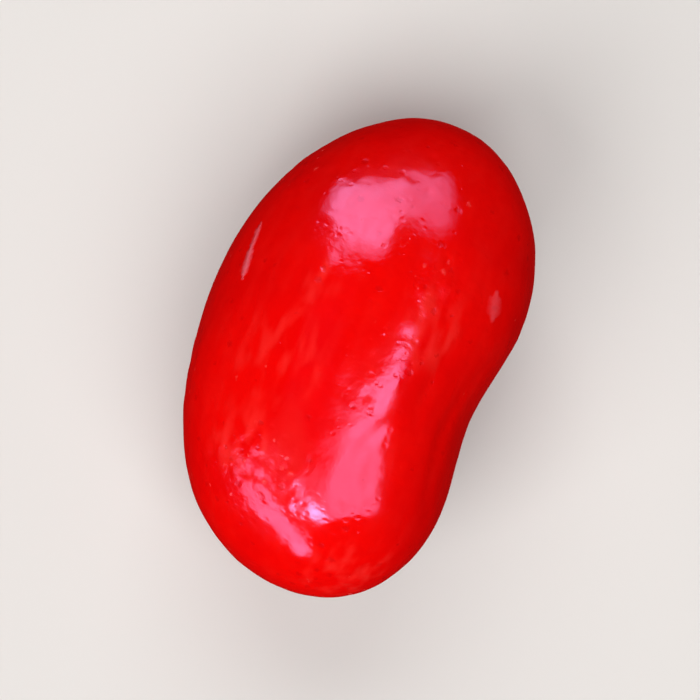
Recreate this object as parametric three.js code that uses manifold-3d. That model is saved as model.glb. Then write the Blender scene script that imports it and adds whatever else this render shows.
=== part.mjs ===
// One jelly bean: a solid sweet in a glossy sugar shell, shaped like a plump, slightly bent kidney.
//
// Millimetres, +Z up. The bean lies on its side, on a small flat spot. The origin is on that flat,
// at the middle of the bean's box. +X runs along the bean and its hollowed waist faces -Y.

import * as THREE from "three";
import { mergeVertices } from "three/addons/utils/BufferGeometryUtils.js";
import Module from "manifold-3d";

// Driving dimensions, in millimetres.
const LENGTH = 16.65;
const BODY_WIDTH = 10.6; // across the middle, as if it had no waist
const THICKNESS = 9.1; // before the flat spot is taken off
const FLAT_SPOT_DEPTH = 0.14; // what the flat spot takes off the lowest point

// The kidney: the spine bends towards -Y at both ends, and the waist is a dent in the -Y side.
const SPINE_BEND = 0.3; // how far the ends lie towards -Y, halfway between the two ends' own bends
const SPINE_SKEW = 0.3; // how much more than that the -X end bends, and how much less the +X end
const WAIST_DEPTH = 1.0;
const WAIST_CENTRE = -0.55; // along X, from the middle of the length
const WAIST_REACH = 3.2; // along X, to where the dent has faded to about a third

// Shape ratios.
const END_FULLNESS = 0.08; // how much blunter the ends are than an ellipsoid's
const SECTION_POWER = 2.15; // 2 makes the cross-section an ellipse, and more makes it squarer

// Slow swells that leave the shell a little uneven. Each is a sine wave over the directions out
// of the bean's middle: its height in millimetres, its waves along X, Y and Z, and its phase.
const SWELLS = [
  { height: 0.07, waves: new THREE.Vector3(2.3, 1.1, 2.9), phase: 1.95 },
  { height: 0.06, waves: new THREE.Vector3(-3.4, 2.7, 1.2), phase: 6.1 },
  { height: 0.05, waves: new THREE.Vector3(1.3, -4.1, 3.2), phase: 5.05 },
  { height: 0.03, waves: new THREE.Vector3(5.2, 2.2, -4.6), phase: 4.0 },
];

// Facets along each edge of the cube that is blown up into the bean.
const FACETS_ALONG = 30;
const FACETS_ACROSS = 22;

const SHELL_MATERIAL = new THREE.MeshStandardMaterial({
  color: 0xdb0508,
  roughness: 0.16,
  metalness: 0,
});

// The closed surface of a unit sphere: a cube's grid, spread evenly by angle and pushed out.
function unitSphere() {
  const grid = new THREE.BoxGeometry(2, 2, 2, FACETS_ALONG, FACETS_ACROSS, FACETS_ACROSS);
  grid.deleteAttribute("normal");
  grid.deleteAttribute("uv");
  const sphere = mergeVertices(grid);
  const position = sphere.getAttribute("position");
  const spread = (value) => Math.tan((value * Math.PI) / 4);
  const point = new THREE.Vector3();
  for (let i = 0; i < position.count; i += 1) {
    point.fromBufferAttribute(position, i);
    point.set(spread(point.x), spread(point.y), spread(point.z)).normalize();
    position.setXYZ(i, point.x, point.y, point.z);
  }
  return sphere;
}

// How far the swells lift the surface in a direction out of the middle.
function swell(direction) {
  let height = 0;
  for (const { height: crest, waves, phase } of SWELLS) {
    height += crest * Math.sin(waves.dot(direction) + phase);
  }
  return height;
}

// The bean's surface point for a direction out of its middle.
function beanPoint(direction) {
  const along = direction.x;
  const { y, z } = direction;

  // The cross-section: squared up a little, and kept full towards the ends.
  const radius = Math.hypot(y, z);
  const powered = Math.abs(y) ** SECTION_POWER + Math.abs(z) ** SECTION_POWER;
  const squared = radius > 0 ? radius / powered ** (1 / SECTION_POWER) : 1;
  const girth = squared * (1 + END_FULLNESS * along * along);

  // The waist is deepest where the surface faces -Y, and fades out over the top and underside.
  const facingWaist = radius > 0 ? Math.max(0, -y / radius) : 0;
  const fromWaist = ((along * LENGTH) / 2 - WAIST_CENTRE) / WAIST_REACH;
  const waist = WAIST_DEPTH * radius * facingWaist * facingWaist * Math.exp(-fromWaist * fromWaist);
  const spine = -SPINE_BEND * along * along + SPINE_SKEW * along * along * along;

  const point = new THREE.Vector3(
    (LENGTH / 2) * along,
    (BODY_WIDTH / 2) * girth * y + waist + spine,
    (THICKNESS / 2) * girth * z,
  );
  return point.addScaledVector(direction, swell(direction));
}

// The bean before its flat spot, as a closed surface.
function roundBean() {
  const bean = unitSphere();
  const position = bean.getAttribute("position");
  const direction = new THREE.Vector3();
  for (let i = 0; i < position.count; i += 1) {
    const point = beanPoint(direction.fromBufferAttribute(position, i));
    position.setXYZ(i, point.x, point.y, point.z);
  }
  return bean;
}

function toManifold(wasm, geometry) {
  const vertProperties = Float32Array.from(geometry.getAttribute("position").array);
  const triVerts = Uint32Array.from(geometry.index.array);
  return new wasm.Manifold(new wasm.Mesh({ numProp: 3, vertProperties, triVerts }));
}

function toGeometry(manifold) {
  const mesh = manifold.getMesh();
  const geometry = new THREE.BufferGeometry();
  geometry.setAttribute("position", new THREE.BufferAttribute(mesh.vertProperties, 3));
  geometry.setIndex(new THREE.BufferAttribute(mesh.triVerts, 1));
  return geometry;
}

// The bean with its lowest point cut off flat, moved so that the origin is on the flat.
function restingBean(wasm) {
  const bean = roundBean();
  bean.computeBoundingBox();
  const floor = bean.boundingBox.min.z + FLAT_SPOT_DEPTH;

  const cutter = new THREE.BoxGeometry(2 * LENGTH, 2 * LENGTH, LENGTH);
  cutter.deleteAttribute("normal");
  cutter.deleteAttribute("uv");
  cutter.translate(0, 0, floor - LENGTH / 2);
  const cut = toManifold(wasm, bean).subtract(toManifold(wasm, mergeVertices(cutter)));

  const geometry = toGeometry(cut);
  geometry.computeBoundingBox();
  const middle = geometry.boundingBox.getCenter(new THREE.Vector3());
  geometry.translate(-middle.x, -middle.y, -floor);
  geometry.computeVertexNormals();
  return geometry;
}

const wasm = await Module();
wasm.setup();

const bean = new THREE.Mesh(restingBean(wasm), SHELL_MATERIAL);
bean.name = "bean";

const jellyBean = new THREE.Group();
jellyBean.add(bean);

export default jellyBean;
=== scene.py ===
"""One glossy red jelly bean on a pale studio floor, seen from straight above.

Everything is in metres, in the CAD frame: +X runs along the bean, its hollowed waist faces -Y,
+Z is up, and the bean lies on its flat spot at z = 0. Sizes and places on the bean are given in
millimetres, and become metres where they are used.
"""

import math
import random

import bpy
import numpy as np
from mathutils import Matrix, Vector, noise


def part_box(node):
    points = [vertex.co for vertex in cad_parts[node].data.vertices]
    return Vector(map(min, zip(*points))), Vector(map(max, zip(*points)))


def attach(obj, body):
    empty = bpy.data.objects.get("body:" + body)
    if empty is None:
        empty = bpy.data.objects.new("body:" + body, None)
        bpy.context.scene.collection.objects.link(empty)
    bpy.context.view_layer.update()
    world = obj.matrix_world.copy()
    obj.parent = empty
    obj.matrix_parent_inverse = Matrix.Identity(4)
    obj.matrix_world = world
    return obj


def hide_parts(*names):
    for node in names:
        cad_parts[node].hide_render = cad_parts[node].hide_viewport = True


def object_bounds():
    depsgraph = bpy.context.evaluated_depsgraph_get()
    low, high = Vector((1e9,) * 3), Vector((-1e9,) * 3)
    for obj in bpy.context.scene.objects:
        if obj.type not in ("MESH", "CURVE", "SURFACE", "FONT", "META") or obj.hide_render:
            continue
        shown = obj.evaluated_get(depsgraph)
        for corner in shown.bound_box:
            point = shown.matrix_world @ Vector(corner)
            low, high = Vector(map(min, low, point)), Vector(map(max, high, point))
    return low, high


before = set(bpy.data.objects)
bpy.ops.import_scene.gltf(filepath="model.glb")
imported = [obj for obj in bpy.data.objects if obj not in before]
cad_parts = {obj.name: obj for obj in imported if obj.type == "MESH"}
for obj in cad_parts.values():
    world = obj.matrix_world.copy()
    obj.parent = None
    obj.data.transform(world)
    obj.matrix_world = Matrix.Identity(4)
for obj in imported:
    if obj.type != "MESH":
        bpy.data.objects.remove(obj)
CAD_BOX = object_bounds()

MM = 0.001

# The bean's form, as in the CAD source: millimetres before the box fit, and ratios.
LENGTH = 16.65
BODY_WIDTH = 10.6
THICKNESS = 9.1
FLAT_SPOT_DEPTH = 0.14
SPINE_BEND = 0.3
SPINE_SKEW = 0.3
WAIST_DEPTH = 1.0
WAIST_CENTRE = -0.55
WAIST_REACH = 3.2
END_FULLNESS = 0.08
SECTION_POWER = 2.15
SWELLS = (  # height in millimetres, waves along X, Y and Z, phase
    (0.07, (2.3, 1.1, 2.9), 1.95),
    (0.06, (-3.4, 2.7, 1.2), 6.1),
    (0.05, (1.3, -4.1, 3.2), 5.05),
    (0.03, (5.2, 2.2, -4.6), 4.0),
)

# The fine mesh: quads along each edge of the cube that is blown up into the bean.
QUADS_ALONG = 144
QUADS_ACROSS = 112
MAP_MARGIN = 0.03  # round each cube side on the UV map, as a share of its cell

# The shell's unevenness in the mesh.
# Ripples: each one's size and height, and how many times longer it is along the bean than across.
RIPPLES = (
    (2.2, 0.030, 1.0),
    (0.9, 0.010, 1.0),
    (0.45, 0.0045, 1.0),
    (0.8, 0.008, 3.5),
)
# Shallow folds along the waist: where each starts and ends along X, how many degrees up from the
# -Y side it is there, how many degrees its middle bows upwards, its depth and its half width.
FOLDS = (
    ((-4.6, 2.0), (26, 20), 14, 0.055, 0.34),
    ((-2.6, 3.1), (50, 38), 9, 0.035, 0.28),
    ((-5.4, -1.2), (68, 62), 7, 0.022, 0.26),
)
LIP_HEIGHT = 0.4  # of a fold's lips, as a share of its depth
LIP_REACH = 2.2  # as a share of its half width
# Where the shell is rougher: each patch's middle and reach, and the size and height of its lumps.
ROUGH_PATCHES = (
    ((-4.9, 1.7, 7.6), 2.2),
    ((3.0, -1.9, 8.2), 1.3),
    ((-7.0, -2.4, 6.2), 1.7),
    ((4.9, 3.3, 5.4), 1.6),
    ((2.4, -4.3, 5.0), 1.5),
    ((-2.2, 4.7, 4.6), 1.9),
    ((-6.4, -3.0, 2.6), 1.6),
    ((7.2, -1.6, 4.0), 1.5),
)
LUMP_SIZE = 0.46
LUMP_HEIGHT = 0.022
# Pits and nibs in the mesh: how many, the least and the most of their radius and height, and how
# likely one is on the smooth shell, next to about 1 in the middle of a rough patch.
GRAINS = 420
GRAIN_RADIUS = (0.13, 0.24)
GRAIN_HEIGHT = (-0.016, 0.012)
SMOOTH_CHANCE = 0.06
GRAIN_SEED = 7

# The shell's finish.
# Where the shell is painted paler, partly as sugar showing through the polish and partly as a painted
# sheen of warm reflections: each patch's middle and reach.
PALE_SHEEN_PATCHES = (
    ((1.7, 1.8, 8.6), 1.0),
    ((-1.0, 2.0, 8.5), 2.0),
    ((-3.9, 2.1, 7.8), 1.6),
    ((-6.5, -2.4, 6.6), 1.8),
    ((1.6, -2.1, 8.4), 1.7),
    ((-1.0, 4.3, 3.0), 2.6),
    ((6.6, 0.8, 3.6), 2.2),
    ((2.0, -3.6, 3.2), 2.4),
)
# Thin scuffs, each painted a pale pink that is partly a painted glint along it: each one's two ends and
# half width, and how strong it is, from 0 to 1.
SCUFFS_AND_GLINTS = (
    ((2.8, 4.2, 6.3), (1.8, 4.2, 6.7), 0.14, 0.8),
    ((2.0, 4.2, 6.6), (0.9, 4.1, 7.0), 0.17, 1.0),
    ((3.4, -3.7, 7.3), (2.6, -3.9, 7.3), 0.28, 0.3),
    ((-5.8, 3.6, 3.4), (-4.3, 4.2, 3.0), 0.12, 0.6),
    ((6.4, -3.2, 3.1), (5.2, -4.0, 3.6), 0.11, 0.5),
)
# Dots in the finish, one in some of the cells of a loose grid: the cells' spacing, the largest
# radius, and the share of cells that have a dot on the smooth shell and in a rough patch's middle.
SPECKS = (0.36, 0.13, 0.02, 0.5)
PORES = (0.44, 0.17, 0.22, 0.7)
PITS = (0.27, 0.14, 0.35, 0.8)
# The pores' cells are squeezed by so much along X, Y and Z, and the pits' cells are stretched, so
# that the three kinds of dots don't fall in step.
PORE_SQUEEZE = (1.07, 0.93, 0.97)
PIT_STRETCH = (0.9, 1.1, 1.0)
# The pores' darker red is painted shade in these small hollows.
PORE_STRENGTH = 0.35  # of their darker red
RAGGED_SIZE = 0.13  # of the ins and outs of a ragged edge
RAGGED_SHIFT = 0.14
# Noise in the finish: slow clouds and a fine mottle in the reds, pale streaks along the bean that are
# partly a painted sheen, and fine bumps.
CLOUD_SIZE = 3.4
CLOUD_ROUGHNESS = (0.14, 0.09)  # in the deep and in the plain red
MOTTLE_SIZE = 0.34
MOTTLE_STRENGTH = 0.35
STREAK_SIZE = 0.5
STREAK_STRETCH = 2.6  # along the bean
STREAK_STRENGTH = (0.1, 0.85)  # outside the pale patches and in their middles
BUMP_SIZE = 0.24
BUMP_HEIGHT = (0.0055, 0.014)  # on the smooth shell and in a rough patch's middle

# The shell's colours: linear red, green, blue and alpha.
DEEP_RED = (0.86, 0.0007, 0.0008, 1)
PLAIN_RED = (0.95, 0.0015, 0.0008, 1)
# A paler, warmer red: partly sugar, partly a painted sheen.
PALE_SHEEN_RED = (1.0, 0.022, 0.018, 1)
# Darker red in the pores: painted shade.
PORE_SHADE_RED = (0.55, 0.0004, 0.0008, 1)
SUGAR_PINK = (1.0, 0.035, 0.03, 1)
# The scuffs' pale pink is partly a painted glint along them.
SCUFF_AND_GLINT_PINK = (1.0, 0.16, 0.21, 1)

BEAN_NODE = "bean"

# The studio, in metres.
LAMP_DISTANCE = 1.5
LAMP_SIZE = 1.2
CARD_DISTANCE = 0.4
CARD_STEPS_ALONG = 60
CARD_STEPS_ACROSS = 24
CARD_UNEVENNESS = 0.45  # how much the glow varies, as a share of it
CARD_UNEVENNESS_SIZE = 0.08  # the size of its bright and dim parts, as a share of the distance
CARD_COLOR = (0.75, 0.46, 1.0, 1)
FLOOR_WHITE = (0.78, 0.77, 0.75, 1)
FLOOR_RED = (0.08, 0.002, 0.002, 1)  # what it sends back to the bean
WORLD_ABOVE = (0.03, 0.015, 0.015, 1)
WORLD_BELOW = (0.35, 0.007, 0.007, 1)
HORIZON_HEIGHT = 0.15  # they blend from this far below the horizon to this far above, at distance 1


# ---------------------------------------------------------------- camera


def make_camera():
    """Straight above the bean, turned so that its +X end leans to the right of the picture's top."""
    low, high = CAD_BOX
    length = high.x - low.x
    lean = math.radians(21.5)
    picture_height = 1.42 * length
    data = bpy.data.cameras.new("camera")
    data.lens = 100.0
    distance = picture_height * data.lens / data.sensor_width
    data.clip_start = 0.1 * distance
    data.clip_end = 40 * distance
    camera = bpy.data.objects.new("camera", data)
    camera.location = ((low.x + high.x) / 2, (low.y + high.y) / 2, high.z / 2 + distance)
    camera.rotation_euler = (0, 0, -math.pi / 2 + lean)
    bpy.context.scene.collection.objects.link(camera)
    bpy.context.scene.camera = camera


# ---------------------------------------------------------------- the bean's mesh


def cube_sphere():
    """A unit sphere's points and quads from a cube's six grids, and each quad corner's place on a map."""
    sizes = (QUADS_ALONG, QUADS_ACROSS, QUADS_ACROSS)
    points, quads, places = [], [], []
    start = 0
    for axis in range(3):
        u_axis, v_axis = (axis + 1) % 3, (axis + 2) % 3
        u_count, v_count = sizes[u_axis], sizes[v_axis]
        for side in (-1, 1):
            u, v = np.meshgrid(np.linspace(-1, 1, u_count + 1), np.linspace(-1, 1, v_count + 1))
            grid = np.empty((u.size, 3))
            grid[:, axis] = side
            grid[:, u_axis] = u.ravel()
            grid[:, v_axis] = v.ravel()
            points.append(grid)

            corner = (np.arange(v_count)[:, None] * (u_count + 1) + np.arange(u_count)).ravel()
            quad = np.stack((corner, corner + 1, corner + u_count + 2, corner + u_count + 1), 1)
            if side < 0:
                quad = quad[:, ::-1]
            quads.append(quad + start)
            start += len(grid)

            # Each cube side has a cell of its own on a map of three by two cells.
            cell = np.array((axis, (side + 1) // 2))
            spot = np.stack((u.ravel(), v.ravel()), 1) / 2 * (1 - 2 * MAP_MARGIN) + 0.5
            places.append(((cell + spot) / (3, 2))[quad])

    points, quads, places = np.concatenate(points), np.concatenate(quads), np.concatenate(places)
    points, index = np.unique(np.round(points, 9), axis=0, return_inverse=True)
    points = np.tan(points * math.pi / 4)
    points /= np.linalg.norm(points, axis=1, keepdims=True)
    return points, index.ravel()[quads], places.reshape(-1, 2)


def bean_points(directions):
    """The bean's surface for directions out of its middle, in millimetres, before it is set in its box."""
    along, y, z = directions.T
    radius = np.maximum(np.hypot(y, z), 1e-9)
    powered = np.abs(y) ** SECTION_POWER + np.abs(z) ** SECTION_POWER
    girth = radius / np.maximum(powered, 1e-18) ** (1 / SECTION_POWER)
    girth *= 1 + END_FULLNESS * along**2

    facing_waist = np.maximum(0, -y / radius)
    from_waist = (along * LENGTH / 2 - WAIST_CENTRE) / WAIST_REACH
    waist = WAIST_DEPTH * radius * facing_waist**2 * np.exp(-(from_waist**2))
    spine = -SPINE_BEND * along**2 + SPINE_SKEW * along**3

    surface = np.stack(
        (LENGTH / 2 * along, BODY_WIDTH / 2 * girth * y + waist + spine, THICKNESS / 2 * girth * z),
        axis=1,
    )
    swell = sum(h * np.sin(directions @ np.array(waves) + phase) for h, waves, phase in SWELLS)
    return surface + directions * swell[:, None]


def set_in_box(surface):
    """Takes the flat spot off the lowest point and fits the bean to the CAD node's box, in metres."""
    low, high = (np.array(corner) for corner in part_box(BEAN_NODE))
    floor = surface[:, 2].min() + FLAT_SPOT_DEPTH
    surface = surface.copy()
    surface[:, 2] = np.maximum(surface[:, 2], floor)
    own_low, own_high = surface.min(0), surface.max(0)
    return low + (surface - own_low) / (own_high - own_low) * (high - low)


def ripple(places, size, stretch):
    """Smooth noise of the given size, from about -1 to 1, drawn out along the bean by stretch."""
    return np.array([noise.noise(Vector(place)) for place in places / (size * stretch, size, size)])


def folds(places):
    """The height of the folds along the waist: each is a groove with a low lip on both sides."""
    height = np.zeros(len(places))
    middle = THICKNESS / 2
    angle = np.degrees(np.arctan2(places[:, 2] - middle, -places[:, 1]))
    radius = np.hypot(places[:, 1], places[:, 2] - middle)
    for (start, end), (start_angle, end_angle), bow, depth, half_width in FOLDS:
        share = np.clip((places[:, 0] - start) / (end - start), 0, 1)
        arch = np.sin(math.pi * share)
        line = start_angle + (end_angle - start_angle) * share + bow * arch
        across = radius * np.radians(angle - line) / half_width
        groove = LIP_HEIGHT * np.exp(-((across / LIP_REACH) ** 2)) - np.exp(-(across**2))
        height += depth * groove * arch
    return height


def patches(places, middles_and_reaches):
    """1 in the middle of each patch, fading to 0 at its edge."""
    cover = np.zeros(len(places))
    for middle, reach in middles_and_reaches:
        apart = np.linalg.norm(places - middle, axis=1) / reach
        cover = np.maximum(cover, np.clip(1 - apart**2, 0, 1))
    return cover


def grains(places, rough, draw):
    """The height of small pits and nibs: a few all over, and many in the rough patches."""
    height = np.zeros(len(places))
    chances = SMOOTH_CHANCE + rough**1.5
    middles = draw.choices(range(len(places)), weights=chances.tolist(), k=GRAINS)
    for middle in middles:
        radius, lift = draw.uniform(*GRAIN_RADIUS), draw.uniform(*GRAIN_HEIGHT)
        apart = np.abs(places - places[middle]).max(1)
        near = np.flatnonzero(apart < 2.5 * radius)
        gap = np.linalg.norm(places[near] - places[middle], axis=1)
        height[near] += lift * np.exp(-((gap / radius) ** 2))
    return height


def make_mesh():
    """The bean with its uneven shell. Attributes say how rough the shell is at a point, and how pale it is
    painted there, partly as a painted sheen.
    """
    directions, quads, map_places = cube_sphere()
    points = set_in_box(bean_points(directions))
    mesh = bpy.data.meshes.new("jelly_bean")
    mesh.from_pydata(points.tolist(), [], quads.tolist())
    mesh.update()

    places = points / MM
    rough = patches(places, ROUGH_PATCHES)
    height = folds(places) + grains(places, rough, random.Random(GRAIN_SEED))
    for size, lift, stretch in RIPPLES:
        height += lift * ripple(places, size, stretch)
    height += LUMP_HEIGHT * rough * ripple(places, LUMP_SIZE, 1.0)
    lying = points[:, 2] <= points[:, 2].min() + 1e-7
    height[lying] = 0  # so that the flat spot stays flat

    normals = np.empty(len(points) * 3)
    mesh.vertex_normals.foreach_get("vector", normals)
    points = points + normals.reshape(-1, 3) * height[:, None] * MM
    points[:, 2] = np.maximum(points[:, 2], 0)
    mesh.vertices.foreach_set("co", points.ravel())
    mesh.shade_smooth()

    mesh.attributes.new("rough", "FLOAT", "POINT").data.foreach_set("value", rough)
    # How pale the shell is painted: partly sugar, partly a painted sheen.
    pale = patches(places, PALE_SHEEN_PATCHES)
    mesh.attributes.new("pale", "FLOAT", "POINT").data.foreach_set("value", pale)
    mesh.uv_layers.new(name="OFBake").uv.foreach_set("vector", map_places.ravel())
    mesh.update()
    return mesh


# ---------------------------------------------------------------- materials


class Graph:
    """The nodes of a material or world. A node's input takes a plain value or another's output."""

    def __init__(self, owner):
        owner.use_nodes = True
        self.nodes = owner.node_tree.nodes
        self.links = owner.node_tree.links

    def put(self, node, inputs):
        for socket, value in inputs.items():
            if isinstance(value, bpy.types.NodeSocket):
                self.links.new(value, node.inputs[socket])
            else:
                node.inputs[socket].default_value = value

    def add(self, kind, inputs, **settings):
        node = self.nodes.new("ShaderNode" + kind)
        for setting, value in settings.items():
            setattr(node, setting, value)
        self.put(node, inputs)
        return node

    def attribute(self, name):
        return self.add("Attribute", {}, attribute_name=name).outputs["Fac"]

    def maths(self, operation, first, second, kind="Math"):
        """The result of a Math node, or of a VectorMath node if kind says so."""
        node = self.add(kind, {0: first, 1: second}, operation=operation)
        return next(socket for socket in node.outputs if socket.enabled)

    def plus(self, value, cover, amount):
        """The value, with the amount added where cover is 1."""
        return self.add("Math", {0: cover, 1: amount, 2: value}, operation="MULTIPLY_ADD").outputs[0]

    def places(self, stretch):
        """Where a point is on the object, in millimetres, divided by stretch along X, Y and Z."""
        coordinates = self.add("TexCoord", {}).outputs["Object"]
        scale = [1 / (MM * along) for along in stretch]
        return self.maths("MULTIPLY", coordinates, scale, "VectorMath")

    def clouds(self, places, size, detail=2.0):
        """Noise of the given size in millimetres, from 0 to 1."""
        return self.add("TexNoise", {"Vector": places, "Scale": 1 / size, "Detail": detail}).outputs["Fac"]

    def between(self, value, low, high, low_result=0.0, high_result=1.0):
        """Turns low..high smoothly into low_result..high_result, and stays there outside it."""
        inputs = {
            "Value": value,
            "From Min": low,
            "From Max": high,
            "To Min": low_result,
            "To Max": high_result,
        }
        return self.add("MapRange", inputs, interpolation_type="SMOOTHSTEP").outputs["Result"]

    def blend(self, factor, first, second):
        """The first colour where factor is 0, and the second where it is 1."""
        inputs = {"Factor": factor, "A": first, "B": second}
        return self.add("Mix", inputs, data_type="RGBA").outputs["Result"]

    def line(self, places, start, end, half_width):
        """1 along a line between two places, fading to 0 at its sides. The line's ends are narrower."""
        start, run = Vector(start), Vector(end) - Vector(start)
        away = self.maths("SUBTRACT", places, start, "VectorMath")
        along = self.maths("DOT_PRODUCT", away, run / run.length_squared, "VectorMath")
        along = self.add("Clamp", {"Value": along}).outputs[0]
        foot = self.maths("MULTIPLY", run, along, "VectorMath")
        apart = self.maths("DISTANCE", away, foot, "VectorMath")
        # This is 0 at both ends of the line, and 0.25 halfway.
        from_end = self.maths("MULTIPLY", along, self.maths("SUBTRACT", 1.0, along))
        reach = self.between(from_end, 0, 0.2, 0.4 * half_width, half_width)
        return self.between(self.maths("DIVIDE", apart, reach), 0, 1.4, 1, 0)

    def dots(self, places, rough, spacing, radius, smooth_share, rough_share):
        """Dots, 1 in their middles and 0 between them. The smallest are half as wide as the largest."""
        cells = self.add("TexVoronoi", {"Vector": places, "Scale": 1 / spacing})
        draw = self.add("SeparateColor", {0: cells.outputs["Color"]}).outputs
        reach = self.between(draw["Green"], 0, 1, 0.5 * radius / spacing, radius / spacing)
        apart = self.maths("DIVIDE", cells.outputs["Distance"], reach)
        share = self.between(rough, 0, 1, smooth_share, rough_share)
        chosen = self.maths("LESS_THAN", draw["Red"], share)
        return self.maths("MULTIPLY", self.between(apart, 0.3, 1, 1, 0), chosen)


def shell_material():
    """Glossy red sugar: cloudy reds, pale streaks partly painted as sheen, sugar specks, pores with
    painted shade, and scuffs with painted glints.
    """
    material = bpy.data.materials.new("sugar_shell")
    graph = Graph(material)
    places = graph.places((1, 1, 1))
    rough = graph.attribute("rough")

    # Noise mostly lies between 0.3 and 0.7, so the limits below pick out its hollows and peaks.
    clouds = graph.clouds(places, CLOUD_SIZE, 3.0)
    mottle = graph.clouds(places, MOTTLE_SIZE)
    lengthwise = graph.places((STREAK_STRETCH, 1, 1))
    # Pale streaks in the pale patches: partly sugar showing, partly a painted sheen.
    streaks = graph.between(graph.clouds(lengthwise, STREAK_SIZE, 1.5), 0.40, 0.76)
    haze_and_sheen_share = graph.between(graph.attribute("pale"), 0, 0.9, *STREAK_STRENGTH)
    haze_and_sheen = graph.maths("MULTIPLY", streaks, haze_and_sheen_share)

    # Specks, pores and scuffs with their painted glints get ragged edges by shifting each point a little
    # at random.
    jitter = graph.add("TexNoise", {"Vector": places, "Scale": 1 / RAGGED_SIZE, "Detail": 1.0})
    shift = graph.maths("SUBTRACT", jitter.outputs["Color"], (0.5, 0.5, 0.5), "VectorMath")
    shift = graph.maths("MULTIPLY", shift, (RAGGED_SHIFT,) * 3, "VectorMath")
    ragged = graph.maths("ADD", places, shift, "VectorMath")
    specks = graph.dots(ragged, rough, *SPECKS)
    pores = graph.dots(graph.maths("MULTIPLY", ragged, PORE_SQUEEZE, "VectorMath"), rough, *PORES)
    # Each scuff is painted pale pink, as a glint would show on it: a painted highlight, along with its
    # real dulling and lift.
    scuffed_and_glinting = 0.0
    for start, end, half_width, strength in SCUFFS_AND_GLINTS:
        scuff_and_glint = graph.maths("MULTIPLY", graph.line(ragged, start, end, half_width), strength)
        scuffed_and_glinting = graph.maths("MAXIMUM", scuffed_and_glinting, scuff_and_glint)
    pits = graph.dots(graph.places(PIT_STRETCH), rough, *PITS)

    color = graph.blend(graph.between(clouds, 0.32, 0.58), DEEP_RED, PLAIN_RED)
    color = graph.blend(graph.between(mottle, 0.35, 0.65, 0, MOTTLE_STRENGTH), color, DEEP_RED)
    # Partly painted sheen: the pale streaks.
    color = graph.blend(haze_and_sheen, color, PALE_SHEEN_RED)
    color = graph.blend(specks, color, SUGAR_PINK)
    # Painted shade in the pores.
    color = graph.blend(graph.maths("MULTIPLY", pores, PORE_STRENGTH), color, PORE_SHADE_RED)
    # Painted glint: the scuffs' pale pink.
    color = graph.blend(scuffed_and_glinting, color, SCUFF_AND_GLINT_PINK)

    roughness = graph.between(clouds, 0.3, 0.7, *CLOUD_ROUGHNESS)
    bumps = graph.clouds(places, BUMP_SIZE)
    height = graph.maths("MULTIPLY", bumps, graph.between(rough, 0, 1, *BUMP_HEIGHT))
    flaws = (  # where each one is, what it adds to the roughness, and how far it stands out, in mm
        (haze_and_sheen, 0.05, 0.0),
        (rough, 0.07, 0.0),
        (specks, 0.12, 0.005),
        (pores, 0.05, -0.006),
        (pits, 0.0, -0.0035),
        (scuffed_and_glinting, 0.04, 0.035),
    )
    for cover, dulling, lift in flaws:
        roughness = graph.plus(roughness, cover, dulling)
        height = graph.plus(height, cover, lift)
    bump = graph.add("Bump", {"Height": height, "Distance": MM})

    finish = {
        "Base Color": color,
        "Roughness": roughness,
        "Normal": bump.outputs["Normal"],
        "IOR": 1.46,
        "Subsurface Weight": 0.35,
        "Subsurface Radius": (1.0, 0.12, 0.08),
        "Subsurface Scale": 0.6 * MM,
    }
    graph.put(graph.nodes["Principled BSDF"], finish)
    return material


def floor_material():
    """Pale and matt, but the light it sends back to the bean is red, as if other beans lay round it."""
    material = bpy.data.materials.new("pale_floor")
    graph = Graph(material)
    sent_back = graph.add("LightPath", {}).outputs["Is Diffuse Ray"]
    color = graph.blend(sent_back, FLOOR_WHITE, FLOOR_RED)
    finish = {"Base Color": color, "Roughness": 1.0, "Specular IOR Level": 0.0}
    graph.put(graph.nodes["Principled BSDF"], finish)
    return material


def card_material():
    """A glow that is as strong at each point of a card as its glow attribute says."""
    material = bpy.data.materials.new("card")
    graph = Graph(material)
    graph.nodes.clear()
    glow = graph.add("Emission", {"Color": CARD_COLOR, "Strength": graph.attribute("glow")})
    graph.add("OutputMaterial", {"Surface": glow.outputs[0]})
    return material


# ---------------------------------------------------------------- studio


def make_floor():
    """A round pale floor that curves up into a sloping edge, so that side views have no horizon line."""
    flat_radius, curve_radius, rise, edge_radius = 0.42, 0.6, math.radians(35), 0.9
    profile = [(0.0, 0.0), (0.1, 0.0), (flat_radius, 0.0)]
    steps = 14
    for i in range(1, steps + 1):
        turn = rise * i / steps
        profile.append((flat_radius + curve_radius * math.sin(turn), curve_radius * (1 - math.cos(turn))))
    radius, z = profile[-1]
    profile.append((edge_radius, z + (edge_radius - radius) * math.tan(rise)))

    around = 96
    points = [(0, 0, 0)]
    for radius, z in profile[1:]:
        for k in range(around):
            angle = 2 * math.pi * k / around
            points.append((radius * math.cos(angle), radius * math.sin(angle), z))
    faces = [(0, 1 + k, 1 + (k + 1) % around) for k in range(around)]
    for ring in range(len(profile) - 2):
        inner = 1 + ring * around
        outer = inner + around
        for k in range(around):
            after = (k + 1) % around
            faces.append((inner + k, outer + k, outer + after, inner + after))
    mesh = bpy.data.meshes.new("floor")
    mesh.from_pydata(points, [], faces)
    mesh.shade_smooth()
    mesh.materials.append(floor_material())
    floor = bpy.data.objects.new("floor", mesh)
    floor.visible_glossy = False
    bpy.context.scene.collection.objects.link(floor)


def direction(azimuth, elevation):
    """The direction from the bean at so many degrees round from +X and so many up from the floor."""
    azimuth, elevation = math.radians(azimuth), math.radians(elevation)
    across = math.cos(elevation)
    return Vector((across * math.cos(azimuth), across * math.sin(azimuth), math.sin(elevation)))


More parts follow.
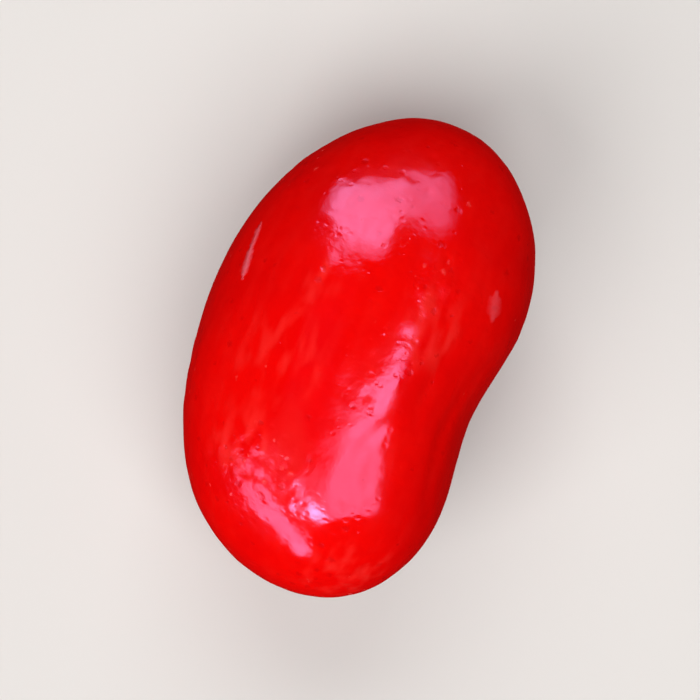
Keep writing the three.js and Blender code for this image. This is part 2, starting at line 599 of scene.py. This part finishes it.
def soft_lamp(name, azimuth, elevation, power, color):
    """A large square lamp in the given direction from the bean. It lights, but isn't mirrored."""
    data = bpy.data.lights.new(name, "AREA")
    data.size = LAMP_SIZE
    data.energy = power
    data.color = color
    light = bpy.data.objects.new(name, data)
    towards = direction(azimuth, elevation)
    light.location = towards * LAMP_DISTANCE
    light.rotation_mode = "QUATERNION"
    light.rotation_quaternion = towards.to_track_quat("Z", "Y")
    light.visible_camera = False
    light.visible_glossy = False
    bpy.context.scene.collection.objects.link(light)


def smooth_rows(stations, steps):
    """Rows of numbers along a smooth curve through the stations, which are evenly spread on it."""
    rows = np.array(stations, float)
    rows = np.concatenate((2 * rows[:1] - rows[1:2], rows, 2 * rows[-1:] - rows[-2:-1]))
    curve = []
    for step in range(steps + 1):
        at = step / steps * (len(stations) - 1)
        i = min(int(at), len(stations) - 2)
        t = at - i
        before, start, end, after = rows[i : i + 4]
        bend = 2 * before - 5 * start + 4 * end - after
        twist = 3 * start - before - 3 * end + after
        curve.append(start + (t * (end - before) + t**2 * bend + t**3 * twist) / 2)
    return curve


def reflected_card(name, stations, fades):
    """A glowing card that only shows mirrored in the shell.

    stations are lines across the card, in order along it: the azimuth and elevation of the line's
    two ends, in degrees, and how strong the glow is there.
    fades are the shares of the card's length, at the first and at the last station, and of its
    width, at the lines' first and second ends, over which the glow fades in.
    """
    rows = [(*direction(*first), *direction(*second), strength) for first, second, strength in stations]
    points, glow = [], []
    for i, row in enumerate(smooth_rows(rows, CARD_STEPS_ALONG)):
        first, second, strength = row[:3], row[3:6], row[6]
        for k in range(CARD_STEPS_ACROSS + 1):
            u, v = i / CARD_STEPS_ALONG, k / CARD_STEPS_ACROSS
            towards = Vector((1 - v) * first + v * second).normalized()
            points.append(CARD_DISTANCE * towards)
            shares = (u, 1 - u, v, 1 - v)
            faded = strength * math.prod(min(1.0, share / fade) for share, fade in zip(shares, fades))
            glow.append(faded * (1 + CARD_UNEVENNESS * noise.noise(towards / CARD_UNEVENNESS_SIZE)))
    faces = []
    row_length = CARD_STEPS_ACROSS + 1
    for i in range(CARD_STEPS_ALONG):
        for k in range(CARD_STEPS_ACROSS):
            corner = i * row_length + k
            faces.append((corner, corner + 1, corner + row_length + 1, corner + row_length))
    mesh = bpy.data.meshes.new(name)
    mesh.from_pydata(points, [], faces)
    mesh.attributes.new("glow", "FLOAT", "POINT").data.foreach_set("value", glow)
    mesh.materials.append(card_material())
    card = bpy.data.objects.new(name, mesh)
    card.visible_camera = False
    card.visible_diffuse = False
    card.visible_shadow = False
    bpy.context.scene.collection.objects.link(card)


def make_lamps():
    soft_lamp("key", 157, 38, 16.2, (1.0, 0.985, 0.97))
    soft_lamp("fill", 232, 60, 13.2, (1.0, 0.99, 0.98))
    soft_lamp("back", 22, 38, 9.9, (1.0, 0.99, 0.98))


def make_cards():
    """The window and the lamps that the shell mirrors."""
    window = (
        ((55, 8), (55, 52), 8.6),
        ((44, 12), (36, 64), 8.4),
        ((25, 24), (356, 64), 7.6),
        ((4, 26), (358, 47), 5.2),
        ((351, 18), (335, 49), 3.4),
        ((340, 19), (320, 45), 1.6),
    )
    reflected_card("window", window, (0.03, 0.16, 0.05, 0.32))
    side_window = (
        ((285, 57), (287, 61), 6.5),
        ((281, 54), (283, 64), 9.5),
        ((273, 55), (259, 75), 9.5),
        ((261, 55), (170, 77), 7.5),
        ((252, 51), (164, 60), 5.8),
        ((245, 41), (163, 47), 5.6),
        ((239, 27), (182, 46), 5.2),
    )
    reflected_card("side_window", side_window, (0.1, 0.05, 0.06, 0.4))
    lamp = (
        ((159, 47), (165, 35), 1.0),
        ((170, 51), (174, 37), 28.0),
        ((185, 51), (184, 38), 20.0),
        ((201, 47), (199, 38), 6.0),
    )
    reflected_card("lamp", lamp, (0.2, 0.2, 0.25, 0.25))
    strip_lamp = (
        ((130, 20), (137, 45), 1.5),
        ((138, 14), (146, 36), 6.5),
        ((149, 16), (157, 33), 7.0),
        ((162, 16), (170, 29), 7.5),
        ((179, 9), (187, 16), 8.0),
    )
    reflected_card("strip_lamp", strip_lamp, (0.2, 0.05, 0.2, 0.2))
    ceiling = (
        ((63, 48), (4, 72), 0.08),
        ((130, 37), (178, 60), 0.08),
    )
    reflected_card("ceiling", ceiling, (0.3, 0.3, 0.3, 0.3))


def make_world():
    """Very dim surroundings, and below the horizon, where only the shell mirrors them, red ones."""
    world = bpy.data.worlds.new("studio")
    graph = Graph(world)
    towards = graph.add("TexCoord", {}).outputs["Generated"]
    height = graph.add("SeparateXYZ", {0: towards}).outputs["Z"]
    above = graph.between(height, -HORIZON_HEIGHT, HORIZON_HEIGHT)
    graph.put(graph.nodes["Background"], {"Color": graph.blend(above, WORLD_BELOW, WORLD_ABOVE)})
    bpy.context.scene.world = world


# ---------------------------------------------------------------- the scene

make_camera()

bean = bpy.data.objects.new("jelly_bean", make_mesh())
bean.data.materials.append(shell_material())
bpy.context.scene.collection.objects.link(bean)
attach(bean, "root")
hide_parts(BEAN_NODE)

make_floor()
make_lamps()
make_cards()
make_world()

bpy.context.scene.view_settings.view_transform = "Standard"
